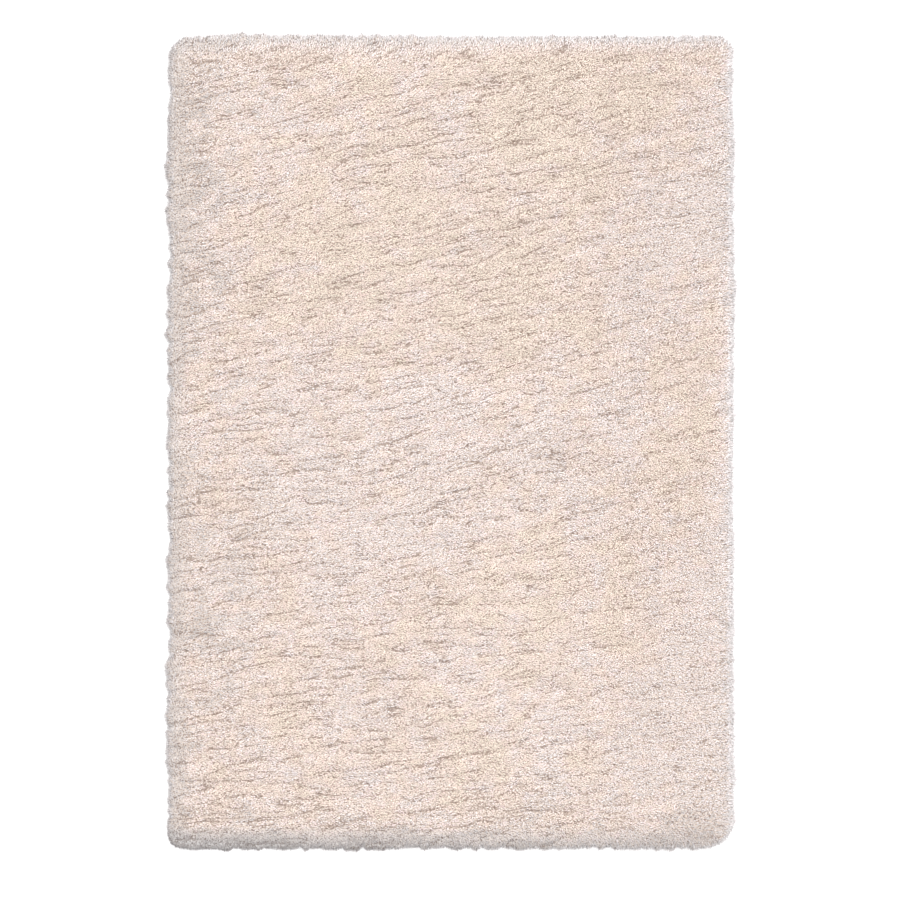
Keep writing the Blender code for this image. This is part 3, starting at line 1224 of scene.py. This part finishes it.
        part_level = add_node(tree, VECTOR_MATH, {0: level, "Scale": share_level}, operation="SCALE")
        part_up = add_node(tree, VECTOR_MATH, {0: normal, "Scale": share_up}, operation="SCALE")
        ahead = add_node(tree, VECTOR_MATH, {0: part_level, 1: part_up}, operation="ADD")
        any_way = {0: (0, 0, 0), 1: (0, 0, math.tau), "Seed": 31}
        roll = add_node(tree, RANDOM, any_way, data_type="FLOAT_VECTOR")
        way = {"Rotation": roll, "Vector": ahead}
        return add_node(tree, "FunctionNodeAlignRotationToVector", way, axis="Z")

    def measure(self, tree: NodeTree, sheaf: NodeOutputs, deep: NodeSocket, given: NodeOutputs) -> NodeSocket:
        """Finds how thick and how long a yarn is. It grows towards the rug's edge.

        Args:
            tree: the tree that gets the nodes.
            sheaf: the three outputs that tell how the yarn's sheaf falls.
            deep: the output that tells how deep the yarn lies.
            given: the tree's inputs.

        Returns:
            The output with the yarn's scale.
        """
        fringe = add_node(tree, NAMED, {0: "fringe"}, data_type="FLOAT")
        lengths = {2: given["shortest"], 3: given["longest"], "Seed": 47}
        length = add_node(tree, RANDOM, lengths, data_type="FLOAT")
        outer = {0: fringe, 1: given["edge_growth"], 2: 1.0}
        growth = add_node(tree, MATH, outer, operation="MULTIPLY_ADD")
        together = {0: sheaf[2], 1: given["sheaf_growth"], 2: growth}
        whole_growth = add_node(tree, MATH, together, operation="MULTIPLY_ADD")
        grown = add_node(tree, MATH, {0: length, 1: whole_growth}, operation="MULTIPLY")
        cut_short = {0: deep, 1: given["crease_short"], 2: 1.0}
        shorter = add_node(tree, MATH, cut_short, operation="MULTIPLY_ADD")
        seen_length = add_node(tree, MATH, {0: grown, 1: shorter}, operation="MULTIPLY")
        radius = add_node(tree, MATH, {0: given["width"], 1: 0.5}, operation="MULTIPLY")
        widths = {2: given["thinnest"], 3: given["thickest"], "Seed": 59}
        plump = add_node(tree, RANDOM, widths, data_type="FLOAT")
        thick = add_node(tree, MATH, {0: radius, 1: plump}, operation="MULTIPLY")
        return add_node(tree, COMBINE, {0: thick, 1: thick, 2: seen_length})

    def deep_share(self, tree: NodeTree, raised: NodeSocket, given: NodeOutputs) -> NodeSocket:
        """Finds the yarns that lie deep, which are painted in their root's shade: most of those along the
        creases where two sheaves fall apart, those that lie low in their own sheaf, single ones, and those at
        the rim that get painted shade.

        Args:
            tree: the tree that gets the nodes.
            raised: the output that tells how far its sheaf is raised, negative where it lies low.
            given: the tree's inputs.

        Returns:
            The output with 0 for a yarn on top and 1 for a deep one.
        """
        edge, pitting, rim_shade = (
            add_node(tree, NAMED, {0: label}, data_type="FLOAT") for label in ("edge", "pitting", "rim_shade")
        )
        aside, gape = self.crease_near(tree)
        near = {0: aside, 1: 0.0, 2: given["crease_width"], 3: 1.0, 4: 0.0}
        crease = add_node(tree, MAP_RANGE, near, interpolation_type="SMOOTHSTEP")
        inner = add_node(tree, MATH, {0: gape, 1: edge}, operation="SUBTRACT")
        opened = add_node(tree, MATH, {0: crease, 1: inner}, operation="MULTIPLY", use_clamp=True)
        fallen = {0: raised, 1: given["low_from"], 2: given["low_to"], 3: 0.0, 4: given["low_share"]}
        low = add_node(tree, MAP_RANGE, fallen, interpolation_type="SMOOTHSTEP")
        inner_low = add_node(tree, MATH, {0: low, 1: edge}, operation="SUBTRACT", use_clamp=True)
        chances = {0: opened, 1: given["crease_odds"], 2: pitting}
        odds = add_node(tree, MATH, chances, operation="MULTIPLY_ADD")
        lot = add_node(tree, RANDOM, {2: 0.0, 3: 1.0, "Seed": 83}, data_type="FLOAT")
        single = add_node(tree, MATH, {0: lot, 1: odds}, operation="LESS_THAN")
        inside = add_node(tree, MATH, {0: inner_low, 1: single}, operation="MAXIMUM")
        return add_node(tree, MATH, {0: inside, 1: rim_shade}, operation="MAXIMUM")

    def crease_near(self, tree: NodeTree) -> tuple[NodeSocket, NodeSocket]:
        """Finds the nearest crease.

        Args:
            tree: the tree that gets the nodes.

        Returns:
            The outputs with the distance to it and with how far it gapes.
        """
        creases = add_node(tree, NAMED, {0: "creases"}, data_type="FLOAT_VECTOR")
        far = add_node(tree, VECTOR_MATH, {0: creases}, operation="ABSOLUTE")
        sides = add_node(tree, SEPARATE, {0: far}).node.outputs
        return add_node(tree, MATH, {0: sides[0], 1: sides[1]}, operation="MINIMUM"), sides[2]

    def yarn_end(self, tree: NodeTree) -> NodeSocket:
        """Draws one yarn end of unit length, from its root at the origin to its tip at the top.

        Args:
            tree: the tree that gets the nodes.

        Returns:
            The output with the yarn end, on which "along" runs from 0 at the root to 1 at the tip.
        """
        drawn = {"Vertices": self.sides, "Radius Top": 0.0, "Radius Bottom": 1.0, "Depth": 1.0}
        cone = add_node(tree, "GeometryNodeMeshCone", drawn, fill_type="NGON")
        parts = add_node(tree, SEPARATE, {0: add_node(tree, "GeometryNodeInputPosition")}).node.outputs
        rising = {"Geometry": cone, "Name": "along", "Value": parts[2]}
        along = add_node(tree, STORE, rising, data_type="FLOAT", domain="POINT")
        # Off its middle line, each corner has its own place on the map, so that no face is a line there.
        aside = add_node(tree, MATH, {0: parts[1], 1: 0.5, 2: parts[0]}, operation="MULTIPLY_ADD")
        wide = add_node(tree, MATH, {0: aside, 1: YARN_MAP_WIDTH}, operation="MULTIPLY")
        shown = self.sizes.root_shown
        past_root = add_node(tree, MATH, {0: parts[2], 1: shown, 2: 1 - shown}, operation="MULTIPLY_ADD")
        lift = add_node(tree, MATH, {0: parts[1], 1: 0.04, 2: past_root}, operation="MULTIPLY_ADD")
        high = add_node(tree, MATH, {0: lift, 1: YARN_MAP_SPAN, 2: YARN_MAP_LOW}, operation="MULTIPLY_ADD")
        cornered = {"Geometry": along, "Name": "corner", "Value": add_node(tree, COMBINE, {0: wide, 1: high})}
        return add_node(tree, STORE, cornered, data_type="FLOAT_VECTOR", domain="POINT")

    def map_yarns(self, tree: NodeTree, yarns: NodeSocket) -> NodeSocket:
        """Lays every yarn on the map at its own shade, nearer to its root where it lies deep, so that a deep
        yarn is painted in its root's shade.

        Args:
            tree: the tree that gets the nodes.
            yarns: the output with the yarns.

        Returns:
            The output with the mapped yarns.
        """
        shade = add_node(tree, NAMED, {0: "shade"}, data_type="FLOAT")
        deep = add_node(tree, NAMED, {0: "deep"}, data_type="FLOAT")
        corner = add_node(tree, NAMED, {0: "corner"}, data_type="FLOAT_VECTOR")
        shades = {0: shade, 1: YARN_MAP_SHADES, 2: YARN_MAP_LEFT}
        across = add_node(tree, MATH, shades, operation="MULTIPLY_ADD")
        start = add_node(tree, COMBINE, {0: across})
        seen = add_node(tree, MATH, {0: deep, 1: -self.deep_dimming, 2: 1.0}, operation="MULTIPLY_ADD")
        share = add_node(tree, COMBINE, {0: 1.0, 1: seen})
        place = add_node(tree, VECTOR_MATH, {0: corner, 1: share, 2: start}, operation="MULTIPLY_ADD")
        laid = {"Geometry": yarns, "Name": MAP_NAME, "Value": place}
        return add_node(tree, STORE, laid, data_type="FLOAT2", domain="CORNER")

    def let_droop(self, tree: NodeTree, yarns: NodeSocket, droop: NodeSocket) -> NodeSocket:
        """Lets the yarns hang by their own weight near the rug's edge, and rests them on the floor.

        Args:
            tree: the tree that gets the nodes.
            yarns: the output with the yarns.
            droop: how far a tip sinks at the edge.

        Returns:
            The output with the resting yarns.
        """
        along = add_node(tree, NAMED, {0: "along"}, data_type="FLOAT")
        edge = add_node(tree, NAMED, {0: "edge"}, data_type="FLOAT")
        fall = along
        for factor in (along, edge, droop):
            fall = add_node(tree, MATH, {0: fall, 1: factor}, operation="MULTIPLY")
        parts = add_node(tree, SEPARATE, {0: add_node(tree, "GeometryNodeInputPosition")}).node.outputs
        lower = add_node(tree, MATH, {0: parts[2], 1: fall}, operation="SUBTRACT")
        clear = add_node(tree, MATH, {0: lower, 1: self.floor_gap}, operation="MAXIMUM")
        rested = add_node(tree, COMBINE, {0: parts[0], 1: parts[1], 2: clear})
        return add_node(tree, "GeometryNodeSetPosition", {"Geometry": yarns, "Position": rested})

    def build(self, bed: Mesh, material: Material) -> Object:
        """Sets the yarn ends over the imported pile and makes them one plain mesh.

        Args:
            bed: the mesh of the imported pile.
            material: the yarn's material.

        Returns:
            The yarn ends.
        """
        carrier = add_object(self.name + "_carrier", bed.copy())
        tree = self.tree(material)
        modifier = carrier.modifiers.new("yarns", "NODES")
        modifier.node_group = tree
        values = vars(self.sizes) | {"part": self.part, "seed": self.seed}
        for label, value in values.items():
            modifier[self.inputs[label]] = value
        graph = bpy.context.evaluated_depsgraph_get()
        mesh = bpy.data.meshes.new_from_object(carrier.evaluated_get(graph), depsgraph=graph)
        bpy.data.objects.remove(carrier)
        bpy.data.node_groups.remove(tree)
        for label in self.markings:
            if label in mesh.attributes:
                mesh.attributes.remove(mesh.attributes[label])
        mesh.name = self.name
        piece = add_object(self.name, mesh)
        dress(piece)
        return piece


@dataclass
class Pile:
    """All the yarn ends that show: strips of them over the rug, and the longer ones that hang at its rim.

    They are drawn coarser than real yarn, over 4 mm wide at the root, because a rug of this size has far more
    of them than a scene can hold.
    """

    finish: HeatSetYarn = HeatSetYarn()
    top: YarnSizes = YarnSizes(
        spacing=0.00335,
        crowd=220000.0,
        shortest=0.008,
        longest=0.0125,
        width=0.0041,
        spread=math.radians(46),
        rise_low=math.radians(28),
        rise_high=math.radians(64),
        sink=0.0015,
        droop=0.004,
        edge_growth=0.7,
        sheaf=0.009,
        sheaf_turn=math.radians(25),
        sheaf_rise=math.radians(18),
        sheaf_growth=0.4,
    )
    locks: YarnSizes = YarnSizes(
        spacing=0.0032,
        crowd=240000.0,
        shortest=0.009,
        longest=0.015,
        width=0.0046,
        spread=math.radians(38),
        rise_low=math.radians(4),
        rise_high=math.radians(42),
        sink=0.002,
        droop=0.003,
        edge_growth=0.0,
        sheaf=0.013,
        sheaf_turn=math.radians(120),
        sheaf_rise=math.radians(50),
        sheaf_growth=1.1,
        root_shown=0.5,
    )
    fringe: YarnSizes = YarnSizes(
        spacing=0.0060,
        crowd=90000.0,
        shortest=0.012,
        longest=0.017,
        width=0.0044,
        spread=math.radians(28),
        rise_low=math.radians(4),
        rise_high=math.radians(34),
        sink=0.002,
        droop=0.004,
        edge_growth=0.55,
        sheaf=0.014,
        sheaf_turn=math.radians(110),
        sheaf_rise=math.radians(40),
        sheaf_growth=1.1,
        root_shown=0.4,
    )
    strips: int = 4
    stretch: float = 0.25
    seed: int = 5

    def build(self, bed: Mesh) -> list[Object]:
        """Builds every strip of yarn ends, then the rim.

        Args:
            bed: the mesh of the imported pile.

        Returns:
            The pieces.
        """
        material = self.finish.material()
        scatters = [
            YarnScatter(f"pile_strip_{part + 1}", self.top, Stand.STRIP, part, self.seed + part, self.stretch)
            for part in range(self.strips)
        ]
        scatters.append(YarnScatter("rim_locks", self.locks, Stand.RIM, 1, self.seed + 10))
        scatters.append(YarnScatter("rim_yarns", self.fringe, Stand.RIM, 1, self.seed + 11))
        return [scatter.build(bed, material) for scatter in scatters]


# ---------------------------------------------------------------------------------------------------------
# The studio
# ---------------------------------------------------------------------------------------------------------


@dataclass
class Studio:
    """A plain pale floor, soft light and the camera straight over the rug."""

    floor_size: float = 60.0
    floor_level: float = -0.0005
    floor_colour: str = "#FAFAFA"
    floor_roughness: float = 0.9
    floor_specular: float = 0.2
    floor_glow: float = 0.3
    camera_height: float = 8.03
    camera_y: float = -0.0191
    lens: float = 112.6
    sensor: float = 36.0
    world_strength: float = 1.19
    key_from: tuple[float, float, float] = (0.40, 0.80, 1.40)
    key_strength: float = 2.7
    key_width: float = math.radians(14)

    def build(self) -> None:
        """Builds the studio."""
        self.lay_floor()
        self.set_lights()
        self.set_camera()

    def lay_floor(self) -> None:
        """Lays the floor just under the rug, of white matt paint that glows a little, so that no shadow is
        grey."""
        bm = bmesh.new()
        bmesh.ops.create_grid(bm, x_segments=1, y_segments=1, size=self.floor_size / 2)
        mesh = bpy.data.meshes.new("studio_floor")
        bm.to_mesh(mesh)
        bm.free()
        mesh.transform(Matrix.Translation((0.0, 0.0, self.floor_level)))
        values = {
            "Base Color": linear(self.floor_colour),
            "Roughness": self.floor_roughness,
            "Specular IOR Level": self.floor_specular,
            "Emission Color": WHITE,
            "Emission Strength": self.floor_glow,
        }
        mesh.materials.append(start_material("white_painted_floor", values)[0])
        add_object("studio_floor", mesh)

    def set_lights(self) -> None:
        """Hangs a wide soft light beyond the head of the rug and lights the room evenly."""
        data = bpy.data.lights.new("key_light", "SUN")
        data.energy = self.key_strength
        data.angle = self.key_width
        light = bpy.data.objects.new("key_light", data)
        light.rotation_euler = (-Vector(self.key_from)).to_track_quat("-Z", "Y").to_euler()
        bpy.context.scene.collection.objects.link(light)
        world = bpy.data.worlds.new("even_room")
        world.use_nodes = True
        background = world.node_tree.nodes["Background"]
        background.inputs["Color"].default_value = WHITE
        background.inputs["Strength"].default_value = self.world_strength
        bpy.context.scene.world = world

    def set_camera(self) -> None:
        """Sets the camera straight over the rug, with the head of the rug at the top of the picture."""
        data = bpy.data.cameras.new("camera")
        data.sensor_width = self.sensor
        data.lens = self.lens
        camera = bpy.data.objects.new("camera", data)
        camera.location = (0.0, self.camera_y, self.camera_height)
        bpy.context.scene.collection.objects.link(camera)
        bpy.context.scene.camera = camera
        bpy.context.scene.view_settings.view_transform = "Standard"


def main() -> None:
    """Builds the rug piece by piece, and then the studio."""
    logging.basicConfig(level=logging.INFO, format="%(name)s %(message)s")
    backing = Backing()
    cloth = backing.build()
    bed = PileBed(PileForm()).build()
    yarns = Pile().build(bed.data)
    Studio().build()


if __name__ == "__main__":
    main()
